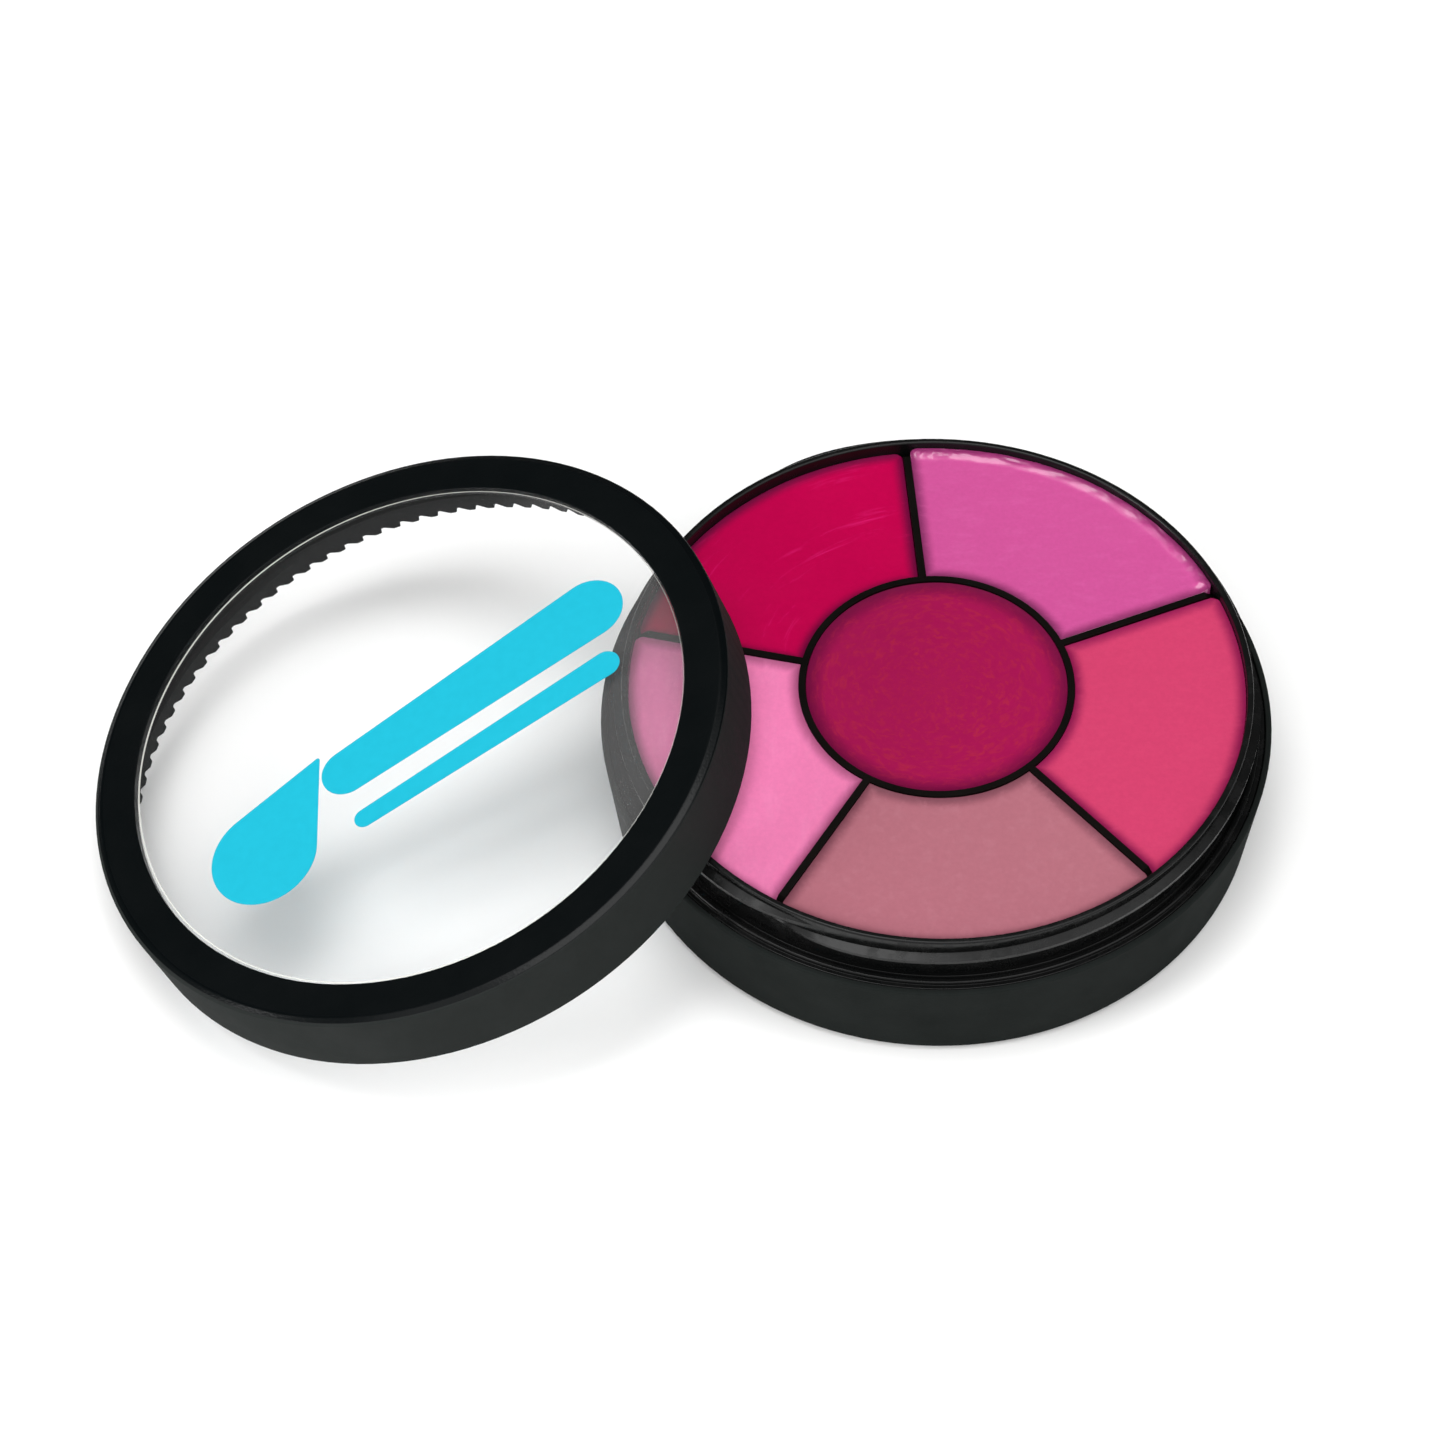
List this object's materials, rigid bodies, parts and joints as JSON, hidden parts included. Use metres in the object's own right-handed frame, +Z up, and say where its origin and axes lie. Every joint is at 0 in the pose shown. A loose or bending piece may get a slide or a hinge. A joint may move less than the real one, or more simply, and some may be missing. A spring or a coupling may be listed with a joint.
{
  "type": "round cream colour palette",
  "caption": "Round cream palette: six pink creams in a low black screw-top jar, its clear-window lid off and leaning on the rim.",
  "frame": {"origin": "centre of the jar's foot, on the plane that the jar stands on", "axes": "+Z up along the jar's axis; +X from the leaning lid towards the jar; +Y away from the side where the wells' front walls meet"},
  "size_m": [0.1337, 0.0804, 0.0303],
  "materials": {
    "shell_black": "satin",
    "cup_black": "gloss",
    "divider_black": "satin",
    "lid_black": "satin",
    "window_clear": "clear",
    "cream_berry": "satin",
    "cream_crimson": "satin",
    "cream_orchid": "gloss",
    "cream_coral_rose": "satin",
    "cream_dusty_rose": "satin",
    "cream_light_pink": "satin"
  },
  "bodies": {
    "base": {"base_shell": "shell_black", "inner_cup": "cup_black", "divider_insert": "divider_black", "cream_centre": "cream_berry", "cream_orchid": "cream_orchid", "cream_crimson": "cream_crimson", "cream_light_pink": "cream_light_pink", "cream_dusty_rose": "cream_dusty_rose", "cream_coral_rose": "cream_coral_rose"},
    "lid": {"lid_bezel": "lid_black", "lid_window": "window_clear", "lid_liner": "lid_black"}
  },
  "joints": [
    {"name": "lid_lift", "type": "slide", "parent": "base", "child": "lid", "axis": [0, 0, 1], "range_m": [0, 0.05]}
  ]
}
